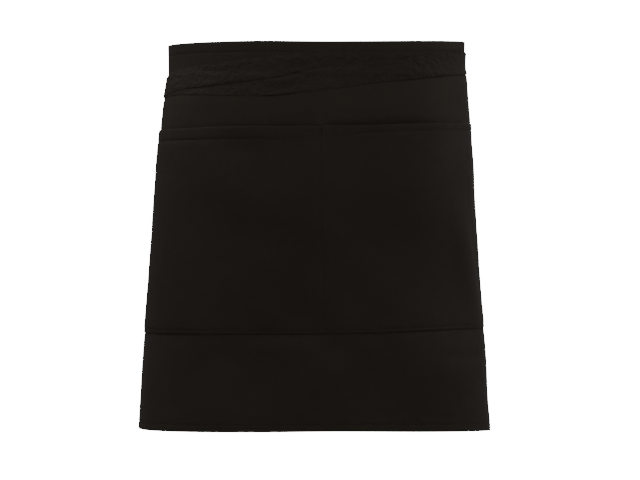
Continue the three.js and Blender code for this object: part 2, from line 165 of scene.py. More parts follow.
# across, down, turn, long, broad, out: the broad folds and dents of the worn cloth
FOLDS = [
    (-0.085, 0.69, -42, 0.17, 0.042, -1.1),
    (-0.23, 0.4, -24, 0.13, 0.06, 0.8),
    (-0.18, 0.51, -24, 0.13, 0.065, -1.1),
    (0.29, 0.55, -18, 0.18, 0.12, -2.6),
    (0.28, 0.83, 0, 0.2, 0.1, 1.6),
    (0.525, 0.56, -78, 0.13, 0.038, 1.4),
    (-0.32, 0.81, 0, 0.06, 0.04, -0.9),
    (-0.3, 0.88, 0, 0.1, 0.06, -0.6),
    (-0.15, 0.79, 0, 0.1, 0.03, 0.8),
    (0.03, 0.79, 0, 0.035, 0.025, -0.5),
    (0.52, 0.81, 0, 0.1, 0.016, -0.5),
    (-0.25, 0.27, -5, 0.08, 0.03, -0.5),
    (-0.52, 0.045, 60, 0.05, 0.04, -0.4),
    (0.72, 0.36, 84, 0.14, 0.04, 0.5),
    (-0.7, 0.42, 82, 0.16, 0.045, -0.5),
    (-0.86, 0.86, 88, 0.24, 0.07, 1.0),
    (0.86, 0.84, -86, 0.22, 0.07, 1.1),
    (-0.12, 1, 0, 0.2, 0.07, 0.8),
]

# The tapes' ways from the sewn corner to the knot. round, rise, wide, layer
TIE_LEFT_WAY = [
    (0.45, 0.84, 1, 0),
    (0.495, 0.82, 1, 1),
    (0.555, 0.75, 1, 1),
    (0.66, 0.62, 1, 1),
    (0.7, 0.58, 1, 0),
    (0.78, 0.55, 1, 0),
    (0.8, 0.51, 1, 0),
    (0.826, 0.43, 1, 0),
    (0.851, 0.355, 1, 0),
    (0.894, 0.314, 1, 0),
    (0.942, 0.288, 1, 0),
    (0.992, 0.276, 1, 0),
    (1.008, 0.28, 1, 0),
    (1.0235, 0.366, 0.8, 0),
    (1.039, 0.27, 0.92, 0.5),
    (1.0548, 0.2, 1, 1),
    (1.0704, 0.13, 1, 1),
    (1.108, -0.03, 1, 1),
    (1.14, -0.16, 1, 1),
    (1.169, -0.24, 1, 1),
    (1.19, -0.33, 1, 1),
    (1.214, -0.47, 1, 1),
    (1.24, -0.57, 1, 1),
    (1.28, -0.58, 1, 1),
    (1.38, -0.38, 1, 1),
    (1.44, 0.02, 1, 2),
    (1.47, 0.1, 1, 2),
    (1.5, 0.1, 1, 2),
]
TIE_RIGHT_WAY = [
    (0.5, -0.46, 1, 0),
    (0.66, -0.6, 1, 0),
    (0.76, -0.62, 1, 0),
    (0.79, -0.59, 1, 0),
    (0.81, -0.53, 1, 0),
    (0.85, -0.545, 1, 0),
    (0.894, -0.6, 1, 0),
    (0.9296, -0.62, 1, 0),
    (0.9452, -0.72, 0.78, 0),
    (0.961, -0.648, 0.85, 0.5),
    (0.9765, -0.53, 0.92, 1),
    (0.992, -0.45, 1, 1),
    (1.008, -0.365, 1, 1),
    (1.032, -0.256, 1, 1),
    (1.055, -0.115, 1, 1),
    (1.077, -0.006, 1, 1),
    (1.104, 0.1, 1, 1),
    (1.145, 0.27, 1, 1),
    (1.17, 0.365, 1, 1),
    (1.2, 0.44, 1, 1),
    (1.22, 0.49, 1, 1),
    (1.26, 0.53, 1, 1),
    (1.33, 0.5, 1, 2),
    (1.43, 0.2, 1, 2),
    (1.47, 0.1, 1, 2),
    (1.5, 0.1, 1, 2),
]


def curve_of(rows):
    """A table as a smooth curve over its first column, flat past its ends."""
    table = np.array(rows, float)
    keys, values = table[:, 0], table[:, 1:]
    last = len(keys) - 1

    def at(place):
        place = np.clip(np.asarray(place, float), keys[0], keys[-1])
        i = np.clip(np.searchsorted(keys, place, side="right"), 1, last)
        start, end = keys[i - 1], keys[i]
        before, beyond = np.where(i > 1, i - 2, i), np.where(i < last, i + 1, i - 1)
        half = (end - start) / 2
        weight_in = half / (start - keys[before])
        weight_out = half / (keys[beyond] - end)
        p = (place - start) / (end - start)
        shares = (
            (-weight_in * p**3 + 2 * weight_in * p**2 - weight_in * p, before),
            ((1 + weight_in) * p**3 - (1.5 + 2 * weight_in) * p**2 + (weight_in - 0.5) * p + 1, i - 1),
            (-(1 + weight_out) * p**3 + (1.5 + weight_out) * p**2 + 0.5 * p, i),
            (weight_out * (p**3 - p**2), beyond),
        )
        return sum(share[..., None] * values[row] for share, row in shares)

    return at


section_at = curve_of(SECTIONS)
level_at = curve_of(LEVELS)

RING_ANGLES = np.linspace(0, 2 * np.pi, 481)
RING_ACROSS = np.sign(np.sin(RING_ANGLES)) * np.abs(np.sin(RING_ANGLES)) ** (2 / ROUNDNESS)
RING_INWARD = np.sign(np.cos(RING_ANGLES)) * np.abs(np.cos(RING_ANGLES)) ** (2 / ROUNDNESS)


def rings_at(z):
    """The form's sections at heights z, with the distances round them from the front."""
    share = section_at((TOP_RISE - z) / APRON_LENGTH)
    half_wide = (WAIST_WIDTH + (HEM_WIDTH - WAIST_WIDTH) * share[:, 0]) / 2
    half_deep = (WAIST_DEPTH + (HEM_DEPTH - WAIST_DEPTH) * share[:, 1]) / 2
    x = half_wide[:, None] * RING_ACROSS
    y = -half_deep[:, None] * RING_INWARD
    steps = np.hypot(np.diff(x, axis=1), np.diff(y, axis=1))
    lengths = np.concatenate([np.zeros((len(z), 1)), np.cumsum(steps, axis=1)], axis=1)
    aside, middle = share[:, 2] * WAIST_WIDTH, share[:, 3] * APRON_WIDTH
    return x, y, lengths, half_wide, half_deep, aside, middle


def relief(across, down):
    """How far the broad folds lift the cloth."""
    lift = np.zeros_like(across)
    for at, low, turn, long, broad, out_share in FOLDS:
        x, y = across - at * HALF, (low - down) * APRON_LENGTH
        c, s = math.cos(math.radians(turn)), math.sin(math.radians(turn))
        along = (x * c + y * s) / (long * APRON_LENGTH)
        beside = (y * c - x * s) / (broad * APRON_LENGTH)
        lift += out_share * FOLD_RELIEF * np.exp(-along**2 - beside**2)
    return lift


def skin_chunk(way, z, lift):
    x, y, lengths, half_wide, half_deep, aside, middle = rings_at(z)
    total = lengths[:, -1]
    place = np.mod(way, total)
    after = np.clip((lengths < place[:, None]).sum(axis=1), 1, lengths.shape[1] - 1)
    rows = np.arange(len(z))
    step = lengths[rows, after] - lengths[rows, after - 1]
    share = (place - lengths[rows, after - 1]) / step
    spot_x = x[rows, after - 1] + (x[rows, after] - x[rows, after - 1]) * share
    spot_y = y[rows, after - 1] + (y[rows, after] - y[rows, after - 1]) * share
    out_x = np.sign(spot_x) * np.abs(spot_x / half_wide) ** (ROUNDNESS - 1) / half_wide
    out_y = np.sign(spot_y) * np.abs(spot_y / half_deep) ** (ROUNDNESS - 1) / half_deep
    size = np.hypot(out_x, out_y)
    behind = np.where(place > total / 2, place - total, place)
    full = lift + relief(behind - middle, (TOP_RISE - z) / APRON_LENGTH)
    return np.stack([aside + spot_x + out_x / size * full, spot_y + out_y / size * full, z], axis=1)


def skin(way, z, lift):
    """Points over the form, by distance round it from the front, height, and lift outwards."""
    way, z, lift = (np.asarray(a, float) for a in np.broadcast_arrays(way, z, lift))
    parts = [skin_chunk(way[i : i + 4000], z[i : i + 4000], lift[i : i + 4000]) for i in range(0, len(z), 4000)]
    return np.concatenate(parts)


def middle_at(z):
    return section_at((TOP_RISE - z) / APRON_LENGTH)[:, 3] * APRON_WIDTH


def round_length(z):
    return rings_at(np.atleast_1d(np.asarray(z, float)))[2][:, -1]


def cloth_point(across, down, lift):
    """Points of the apron's cloth, by the place on the flat cloth."""
    level = level_at(across / HALF)
    rise = level[:, 0]
    for k in range(3):
        share = np.clip((down - LEVEL_DOWNS[k]) / (LEVEL_DOWNS[k + 1] - LEVEL_DOWNS[k]), 0, 1)
        rise = rise + (level[:, k + 1] - level[:, k]) * share
    z = TOP_RISE + rise * APRON_LENGTH - down
    return skin(middle_at(z) + across, z, lift)


# Materials


def node_group(name, inputs, outputs):
    group = bpy.data.node_groups.new(name, "ShaderNodeTree")
    for label, kind, value in inputs:
        socket = group.interface.new_socket(name=label, in_out="INPUT", socket_type=kind)
        if value is not None:
            socket.default_value = value
    for label, kind in outputs:
        group.interface.new_socket(name=label, in_out="OUTPUT", socket_type=kind)
    start = group.nodes.new("NodeGroupInput")
    end = group.nodes.new("NodeGroupOutput")
    return group, start, end


class Nodes:
    """Short words for the nodes of one tree."""

    def __init__(self, tree):
        self.tree = tree

    def put(self, socket, value):
        if isinstance(value, bpy.types.NodeSocket):
            self.tree.links.new(value, socket)
        else:
            socket.default_value = value

    def math(self, operation, first, second=0.0, third=0.0):
        node = self.tree.nodes.new("ShaderNodeMath")
        node.operation = operation
        for socket, value in zip(node.inputs, (first, second, third)):
            self.put(socket, value)
        return node.outputs[0]

    def noise(self, vector, scale, detail=2.0, roughness=0.5):
        node = self.tree.nodes.new("ShaderNodeTexNoise")
        self.put(node.inputs["Vector"], vector)
        self.put(node.inputs["Scale"], scale)
        self.put(node.inputs["Detail"], detail)
        self.put(node.inputs["Roughness"], roughness)
        return node.outputs["Fac"]

    def spread(self, value, low, high, to_low, to_high):
        node = self.tree.nodes.new("ShaderNodeMapRange")
        for label, number in (
            ("Value", value),
            ("From Min", low),
            ("From Max", high),
            ("To Min", to_low),
            ("To Max", to_high),
        ):
            self.put(node.inputs[label], number)
        return node.outputs["Result"]

    def parts(self, vector):
        node = self.tree.nodes.new("ShaderNodeSeparateXYZ")
        self.put(node.inputs[0], vector)
        return node.outputs

    def scaled(self, vector, factors):
        node = self.tree.nodes.new("ShaderNodeVectorMath")
        node.operation = "MULTIPLY"
        self.put(node.inputs[0], vector)
        self.put(node.inputs[1], factors)
        return node.outputs[0]

    def mixed(self, share, first, second):
        node = self.tree.nodes.new("ShaderNodeMix")
        node.data_type = "RGBA"
        self.put(node.inputs["Factor"], share)
        self.put(node.inputs[6], first)
        self.put(node.inputs[7], second)
        return node.outputs[2]


def make_weave():
    """Yarns of a weave whose ribs step aside from yarn to yarn: a height and a mask of the ribs."""
    group, start, end = node_group(
        "weave",
        [
            ("Flat", "NodeSocketVector", None),
            ("Pitch", "NodeSocketFloat", 0.0006),
            ("Slant", "NodeSocketFloat", 1.0),
            ("Unevenness", "NodeSocketFloat", 0.25),
        ],
        [("Height", "NodeSocketFloat"), ("Ribs", "NodeSocketFloat")],
    )
    n = Nodes(group)
    x, y, _ = n.parts(start.outputs["Flat"])
    wander = n.noise(n.scaled(start.outputs["Flat"], (1, 1, 1)), 260.0, 2.0)
    warp = n.math("DIVIDE", x, start.outputs["Pitch"])
    weft = n.math("DIVIDE", y, start.outputs["Pitch"])
    slanted = n.math("MULTIPLY_ADD", weft, start.outputs["Slant"], warp)
    uneven = n.math("MULTIPLY_ADD", wander, start.outputs["Unevenness"], slanted)
    rib = n.math("SINE", n.math("MULTIPLY", uneven, 2 * math.pi * 0.5))
    yarn = n.math("SINE", n.math("MULTIPLY", weft, 2 * math.pi))
    ribs = n.math("MULTIPLY_ADD", rib, 0.5, 0.5)
    height = n.math("MULTIPLY_ADD", yarn, 0.18, ribs)
    group.links.new(height, end.inputs["Height"])
    group.links.new(ribs, end.inputs["Ribs"])
    return group


def make_used_cloth():
    """Soft patches of faded and deeper colour, small puckers and stray lint."""
    group, start, end = node_group(
        "used_cloth",
        [
            ("Flat", "NodeSocketVector", None),
            ("Patches", "NodeSocketFloat", 9.0),
            ("Puckers", "NodeSocketFloat", 110.0),
        ],
        [("Fading", "NodeSocketFloat"), ("Pucker", "NodeSocketFloat"), ("Lint", "NodeSocketFloat")],
    )
    n = Nodes(group)
    flat = start.outputs["Flat"]
    fading = n.noise(flat, start.outputs["Patches"], 4.0, 0.55)
    pucker = n.noise(flat, start.outputs["Puckers"], 3.0, 0.55)
    specks = n.noise(flat, 620.0, 1.0)
    lint = n.spread(specks, 0.74, 0.8, 0.0, 1.0)
    group.links.new(fading, end.inputs["Fading"])
    group.links.new(pucker, end.inputs["Pucker"])
    group.links.new(lint, end.inputs["Lint"])
    return group


WEAVE = make_weave()
USED_CLOTH = make_used_cloth()


def woven_material(name, deep, faded, pitch, slant, weave_depth, pucker_depth, puckers, roughness, sheen):
    """Near-black cloth: a slanted weave and small puckers in its bump, and patches of fading."""
    material = bpy.data.materials.new(name)
    material.use_nodes = True
    tree = material.node_tree
    n = Nodes(tree)
    shader = tree.nodes["Principled BSDF"]
    place = tree.nodes.new("ShaderNodeUVMap")
    place.uv_map = "flat"
    weave = tree.nodes.new("ShaderNodeGroup")
    weave.node_tree = WEAVE
    weave.inputs["Pitch"].default_value = pitch
    weave.inputs["Slant"].default_value = slant
    used = tree.nodes.new("ShaderNodeGroup")
    used.node_tree = USED_CLOTH
    used.inputs["Puckers"].default_value = puckers
    for node in (weave, used):
        tree.links.new(place.outputs["UV"], node.inputs["Flat"])
    fading = n.spread(used.outputs["Fading"], 0.3, 0.7, 0.0, 1.0)
    colour = n.mixed(fading, (*deep, 1), (*faded, 1))
    ribbed = n.mixed(n.math("MULTIPLY", weave.outputs["Ribs"], 0.35), colour, (*[f * 1.8 for f in faded], 1))
    linted = n.mixed(n.math("MULTIPLY", used.outputs["Lint"], 0.25), ribbed, (0.06, 0.055, 0.05, 1))
    tree.links.new(linted, shader.inputs["Base Color"])
    rough = n.spread(used.outputs["Pucker"], 0.2, 0.8, roughness - 0.05, roughness + 0.05)
    tree.links.new(rough, shader.inputs["Roughness"])
    fine = tree.nodes.new("ShaderNodeBump")
    fine.inputs["Distance"].default_value = weave_depth
    tree.links.new(weave.outputs["Height"], fine.inputs["Height"])
    soft = tree.nodes.new("ShaderNodeBump")
    soft.inputs["Distance"].default_value = pucker_depth
    tree.links.new(used.outputs["Pucker"], soft.inputs["Height"])
    tree.links.new(fine.outputs["Normal"], soft.inputs["Normal"])
    tree.links.new(soft.outputs["Normal"], shader.inputs["Normal"])
    shader.inputs["Specular IOR Level"].default_value = 0.12
    shader.inputs["Specular Tint"].default_value = (1, 0.9, 0.8, 1)
    shader.inputs["Sheen Weight"].default_value = sheen
    shader.inputs["Sheen Roughness"].default_value = 0.45
    shader.inputs["Sheen Tint"].default_value = (1, 0.95, 0.88, 1)
    return material


TWILL = woven_material(
    "black_twill", (0.0128, 0.0101, 0.008), (0.0175, 0.014, 0.0111), 0.0006, 1.0, 0.00005, 0.00012, 110.0, 0.86, 0.0
)
# The pocket's cloth: the panel's twill with its slant the other way, and its colours painted about 7% darker as
# painted shade, because less light falls on the pocket than on the panel above it
SHADED_POCKET_TWILL = woven_material(
    "pocket_twill_painted_shade", (0.0119, 0.0094, 0.0074), (0.0163, 0.013, 0.0103), 0.0006, -1.0, 0.00005, 0.00012, 110.0, 0.86, 0.0
)
TAPE_WEAVE = woven_material(
    "black_tape", (0.0125, 0.0099, 0.0079), (0.0178, 0.0142, 0.0113), 0.0011, 1.6, 0.00012, 0.003, 135.0, 0.88, 0.0
)



def thread_material():
    """Black sewing thread: fine twisted plies along each stitch and a dull gloss."""
    material = plain_material("black_thread", (0.012, 0.0097, 0.0078), 0.75)
    tree = material.node_tree
    n = Nodes(tree)
    shader = tree.nodes["Principled BSDF"]
    place = tree.nodes.new("ShaderNodeTexCoord")
    plies = n.noise(place.outputs["Object"], 2600.0, 2.0)
    tree.links.new(n.mixed(plies, (0.008, 0.0065, 0.0052, 1), (0.018, 0.0145, 0.0116, 1)), shader.inputs["Base Color"])
    tree.links.new(n.spread(plies, 0.2, 0.8, 0.65, 0.85), shader.inputs["Roughness"])
    bump = tree.nodes.new("ShaderNodeBump")
    bump.inputs["Distance"].default_value = 0.00005
    tree.links.new(plies, bump.inputs["Height"])
    tree.links.new(bump.outputs["Normal"], shader.inputs["Normal"])
    shader.inputs["Specular IOR Level"].default_value = 0.12
    return material


THREAD_BLACK = thread_material()

# Cloth

CLOTH = 0.55 * MM
FOLD = 1.25 * MM  # how thick a turned edge is


def turned_edge(edge, hem, steps):
    """Lines over a turned edge: place, depth behind the outer face, and place on the flat cloth.
    From the fold's first line to the hem's inner end, which is tucked against the cloth."""
    lines = []
    for k in range(1, 5):
        angle = math.pi * k / 4
        lines.append((edge - FOLD / 2 * (1 - math.sin(angle)), FOLD / 2 * (1 - math.cos(angle)), edge + 0.3 * MM * k))
    for k in range(1, steps + 1):
        back = hem * k / steps
        tuck = 0.1 * MM if k == steps else 0
        lines.append((edge - FOLD / 2 - back, FOLD - tuck, edge + 1.2 * MM + back))
    return lines


def spaced(start, stop, step):
    parts = max(1, round((stop - start) / step))
    return [start + (stop - start) * k / parts for k in range(parts + 1)]


def with_seams(places, seams, spreads=(-1.4, -0.7, 0.0, 0.7, 1.4)):
    """The lines of a grid, with close lines along each seam in place of those near it."""
    kept = [p for p in places if all(abs(p - s) > 2.2 * MM for s in seams)]
    return sorted(kept + [s + d * MM for s in seams for d in spreads])


def full_lines(inside, low_edge, low_hem, high_edge, high_hem):
    """All lines over a cloth with turned edges, as place, depth and flat place."""
    lines = []
    if low_hem:
        lines += [(-p, d, -f) for p, d, f in reversed(turned_edge(-low_edge, low_hem, 3))]
    lines += [(p, 0.0, p) for p in inside]
    if high_hem:
        lines += turned_edge(high_edge, high_hem, 3)
    return np.array(lines)


def woven_grid(columns, rows, place):
    """A grid of cloth laid where place(across, down, depth) says, with the flat cloth as UVs."""
    made = bmesh.new()
    bmesh.ops.create_grid(made, x_segments=len(columns) - 1, y_segments=len(rows) - 1, size=0.5)
    spots = np.array([v.co[:2] for v in made.verts])
    i = np.rint((spots[:, 0] + 0.5) * (len(columns) - 1)).astype(int)
    j = np.rint((0.5 - spots[:, 1]) * (len(rows) - 1)).astype(int)
    points = place(columns[i, 0], rows[j, 0], columns[i, 1] + rows[j, 1])
    flat = made.loops.layers.uv.new("flat")
    on_flat = np.stack([columns[i, 2], -rows[j, 2]], axis=1)
    for vert, point in zip(made.verts, points):
        vert.co = point
    made.verts.index_update()
    for face in made.faces:
        face.smooth = True
        for loop in face.loops:
            loop[flat].uv = on_flat[loop.vert.index]
    return made


def new_piece(name, made, material):
    mesh = bpy.data.meshes.new(name)
    made.to_mesh(mesh)
    made.free()
    piece = bpy.data.objects.new(name, mesh)
    bpy.context.scene.collection.objects.link(piece)
    mesh.materials.append(material)
    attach(piece, "root")
    return piece


def thicken(piece, thickness):
    wall = piece.modifiers.new("thickness", "SOLIDIFY")
    wall.thickness = thickness
    wall.offset = -1
    wall.use_even_offset = False
    return piece


def smooth_step(x):
    x = np.clip(x, 0, 1)
    return x * x * (3 - 2 * x)


def groove(distance, depth, wide):
    return -depth * np.exp(-((distance / wide) ** 2))


def ripples(place, wavelength, seed):
    """Uneven ripples along a seam, from -1 to 1."""
    rng = np.random.default_rng(seed)
    total = np.zeros_like(place)
    for _ in range(6):
        length = wavelength * rng.uniform(0.7, 1.7)
        total += rng.uniform(0.5, 1) * np.sin(2 * np.pi * (place / length + rng.uniform()))
    return total / 3.4


class SmallFolds:
    """Many small soft creases over the cloth, seeded."""

    def __init__(self, seed, count, height):
        rng = np.random.default_rng(seed)
        self.folds = [
            (
                rng.uniform(-HALF, HALF),
                rng.uniform(0, APRON_LENGTH),
                rng.normal(0, 0.7) + (math.pi / 2 if rng.uniform() < 0.55 else 0),
                rng.uniform(0.02, 0.055),
                rng.uniform(0.004, 0.011),
                height * rng.uniform(0.3, 1) * rng.choice([-1, 1]),
            )
            for _ in range(count)
        ]

    def at(self, across, down):
        lift = np.zeros_like(across)
        for x0, y0, turn, long, broad, out_by in self.folds:
            x, y = across - x0, down - y0
            c, s = math.cos(turn), math.sin(turn)
            lift += out_by * np.exp(-(((x * c + y * s) / long) ** 2) - ((y * c - x * s) / broad) ** 2)
        return lift


small_folds = SmallFolds(5, 150, 0.32 * MM)

TOP_STITCH, BOTTOM_STITCH, SIDE_STITCH = 0.0125, APRON_LENGTH - 0.0088, HALF - 0.0095

# across, how far the panel draws in behind the pocket's mouth there, in millimetres
drawn_in = curve_of([
    (-0.33, 0.5), (-0.2, 0.8), (-0.1, 0.7), (-0.06, 1.4), (-0.04, 1.4), (-0.025, 0.8), (-0.008, 0.6), (0, 0.1),
    (0.006, 1.8), (0.02, 2.4), (0.07, 2.2), (0.115, 1.9), (0.13, 1.0), (0.16, 0.5), (0.33, 0.5),
])


def panel_lift(across, down):
    """Seams, puckers and creases of the panel's outer face."""
    side = HALF - np.abs(across)
    calm = np.clip(side / 0.02, 0, 1) * (0.25 + 0.75 * np.clip((down - 0.05) / 0.03, 0, 1))
    lift = small_folds.at(across, down) * calm
    for seam, seed in ((TOP_STITCH, 1), (BOTTOM_STITCH, 2)):
        near = np.exp(-(((down - seam) / 0.006) ** 2))
        lift += groove(down - seam, 0.32 * MM, 0.9 * MM) + 0.09 * MM * ripples(across, 0.009, seed) * near
    lift += 0.22 * MM * ripples(across, 0.024, 4) * np.exp(-(((down - BOTTOM_STITCH + 0.002) / 0.004) ** 2))
    lift += groove(side - (HALF - SIDE_STITCH), 0.3 * MM, 0.9 * MM)
    lift += 0.07 * MM * ripples(down, 0.009, 3) * np.exp(-(((side - 0.0095) / 0.006) ** 2))
    # the cloth draws in behind the pocket's mouth, more on the right, and is sewn in at its bottom
    lift -= drawn_in(across)[:, 0] * MM * np.exp(-(((down - POCKET_TOP - 0.004) / 0.008) ** 2))
    lift -= 0.6 * MM * np.exp(-(((down - SEAM_DOWN + 0.003) / 0.005) ** 2)) * (side > 0.012)
    return lift


def panel_place(across, down, depth):
    return cloth_point(across, down, panel_lift(across, down) - depth)


panel_columns = full_lines(
    with_seams(spaced(-HALF + FOLD, HALF - FOLD, 0.0036), [-SIDE_STITCH, SIDE_STITCH]), -HALF, 0.0095, HALF, 0.0095
)
panel_rows = full_lines(
    with_seams(spaced(FOLD, APRON_LENGTH - FOLD, 0.0036), [TOP_STITCH, BOTTOM_STITCH]), 0, 0.0125, APRON_LENGTH, 0.0088
)
panel = new_piece("apron_cloth", woven_grid(panel_columns, panel_rows, panel_place), TWILL)
thicken(panel, CLOTH)
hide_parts("apron_panel")

# The pocket: its outer face over the panel's, standing off a little at each half's mouth
MOUTH_STITCH_LEFT, MOUTH_STITCH_RIGHT = 0.0143, 0.0082
SEAM_STITCHES = (POCKET_HEIGHT - 0.004, POCKET_HEIGHT - 0.0011)
CENTRE_SEAM = -0.0018
POCKET_LIFT = 1.3 * MM


def hemmed_right(across):
    return np.clip((across / POCKET_HALF + 0.1) / 0.25, 0, 1)


def mouth_stitch(across):
    """The hem's stitches drop nearer to the mouth on the right half."""
    return MOUTH_STITCH_LEFT + (MOUTH_STITCH_RIGHT - MOUTH_STITCH_LEFT) * hemmed_right(across)


# across, how deep the hem's stitches sink there, in millimetres
hem_groove = curve_of([(-0.338, 0.5), (-0.08, 0.5), (-0.05, 0.2), (0.01, 0.2), (0.03, 0.4), (0.1, 0.4), (0.338, 0.35)])


def pocket_gape(across, down):
    gape = np.where(across < 0, 0.0016, 0.003)
    swell = np.sin(np.pi * np.clip(np.abs(across) / POCKET_HALF / GAPE_REACH, 0, 1)) ** 2
    return gape * swell * np.clip(1 - down / POCKET_HEIGHT, 0, 1) ** 2.2


# across, how far the mouth's line drops there, in millimetres
mouth_drop = curve_of([
    (-0.338, 0.9), (-0.15, 0.9), (-0.135, 0.2), (-0.07, 0), (-0.035, 0.3), (-0.027, -0.3), (-0.022, -0.4),
    (-0.014, 0.4), (-0.006, 0.6), (-0.002, 0.3), (0.002, -0.5), (0.012, -0.3), (0.028, -0.2), (0.07, 0), (0.338, 0),
])


def pocket_lift(across, down):
    side = POCKET_HALF - np.abs(across)
    hem = np.clip((mouth_stitch(across) - down) / MM, 0, 1)
    lift = POCKET_LIFT + pocket_gape(across, down) + 0.15 * MM * hem
    lift -= 0.5 * MM * smooth_step((np.abs(across) - 0.13) / 0.05) * np.exp(-((down / 0.02) ** 2))
    lift += small_folds.at(across, down + POCKET_TOP) * np.clip(side / 0.02, 0, 1)
    lift += 0.25 * MM * np.exp(-((down / 0.008) ** 2)) * (1 - hemmed_right(across))
    lift += groove(down - mouth_stitch(across), MM * hem_groove(across)[:, 0], 1.0 * MM)
    for seam, deep, seed in ((SEAM_STITCHES[0], 0.8 * MM, 11), (SEAM_STITCHES[1], 0.35 * MM, 12)):
        near = np.exp(-(((down - seam) / 0.006) ** 2))
        lift += groove(down - seam, deep, 1.0 * MM) + 0.1 * MM * ripples(across, 0.01, seed) * near
    lift += groove(across - CENTRE_SEAM, 0.2 * MM, 1.2 * MM)
    lift += 0.1 * MM * ripples(down, 0.011, 13) * np.exp(-(((across - CENTRE_SEAM) / 0.006) ** 2))
    gathered = np.exp(-(((across - CENTRE_SEAM + 0.006) / 0.009) ** 2) - ((down - 0.006) / 0.006) ** 2)
    lift += 0.9 * MM * gathered * ripples(across + 0.4 * down, 0.0065, 14) * ripples(down, 0.008, 15)
    lift += groove(side - 0.002, 0.3 * MM, 0.9 * MM)
    # pressed to the panel at its bottom and sides
    lift -= 0.7 * MM * np.exp(-(((POCKET_HEIGHT - down) / 0.0018) ** 2))
    return lift


def pocket_place(across, down, depth):
    drop = mouth_drop(across)[:, 0] * MM * np.exp(-((down / 0.012) ** 2))
    return cloth_point(across, POCKET_TOP + down + drop, pocket_lift(across, down) - depth)


pocket_columns = full_lines(
    with_seams(spaced(-POCKET_HALF + FOLD, POCKET_HALF - FOLD, 0.0036), [-POCKET_HALF + 0.002, CENTRE_SEAM, POCKET_HALF - 0.002], (-0.7, 0, 0.7)),
    -POCKET_HALF,
    0.009,
    POCKET_HALF,
    0.009,
)
pocket_rows = full_lines(
    with_seams(
        spaced(FOLD, POCKET_HEIGHT - FOLD, 0.0036), [MOUTH_STITCH_RIGHT, MOUTH_STITCH_LEFT, *SEAM_STITCHES], (-0.7, 0, 0.7)
    ),
    0,
    0.0135,
    POCKET_HEIGHT,
    0.009,
)
pocket = new_piece("pocket_cloth", woven_grid(pocket_columns, pocket_rows, pocket_place), SHADED_POCKET_TWILL)
thicken(pocket, CLOTH)
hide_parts("pocket")

# Tapes

TAPE = 0.8 * MM
TAPE_WALL = 0.55 * MM
EDGE_DROP = 0.65 * MM
LAYER = 1.0 * MM
TAPE_LIFT = 0.35 * MM
WAIST_ROUND = float(round_length(0.0)[0])
LENGTH_KEYS = np.linspace(-0.45, 0.06, 256)
LENGTH_VALUES = round_length(LENGTH_KEYS)
KNOT_Z = 0.1 * TAPE_WIDTH


def ring_length(z):
    return np.interp(z, LENGTH_KEYS, LENGTH_VALUES)


def corner_round(side, from_edge):
    z = np.array([TOP_RISE - 0.014])
    return (HALF - from_edge + side * float(middle_at(z)[0])) / float(round_length(z)[0])


def tie_route(side, table):
    """The table of a tie with its sewn end put before it, as a curve, and where it starts."""
    top = TOP_RISE + float(level_at(np.array([float(side)]))[0, 0]) * APRON_LENGTH - 0.0005
    sewn = (top / TAPE_WIDTH - 0.5, 1, 0)
    corner = corner_round(side, 0)
    rows = [(corner_round(side, 0.026), *sewn), (corner, *sewn)]
    rows += [row for row in table if row[0] > corner + 0.0008 / WAIST_ROUND]
    return curve_of(rows), rows[0][0]


ROUTES = {-1: tie_route(-1, TIE_LEFT_WAY), 1: tie_route(1, TIE_RIGHT_WAY)}


def layers_beneath(side, rounds, z, layer):
    """How many laps of tape lie under each place of a tie, eased over their edges."""
    place = side * rounds
    beneath = np.zeros_like(z)
    for other, (route, begins) in ROUTES.items():
        for turn in range(-3, 4):
            lap = other * place + turn
            inside = (lap > begins) & (lap < 1.5)
            if other == side:
                inside &= np.abs(lap - rounds) > 0.4
            values = route(lap)
            lower = inside & (values[..., 2] < layer - 0.25)
            reach = TAPE_WIDTH / 2 * values[..., 1] - np.abs(z - values[..., 0] * TAPE_WIDTH)
            beneath += np.where(lower, smooth_step(reach / (4.5 * MM) + 0.55), 0)
    return np.minimum(beneath, np.maximum(layer, 0))


def tape_lines(middle_step=2.2 * MM):
    """Places over a tape's width, closer at its edges."""
    half = TAPE_WIDTH / 2
    edge = [-half, -half + 0.5 * MM, -half + 1.4 * MM]
    return edge + spaced(-half + 2.8 * MM, half - 2.8 * MM, middle_step) + [-e for e in reversed(edge)]


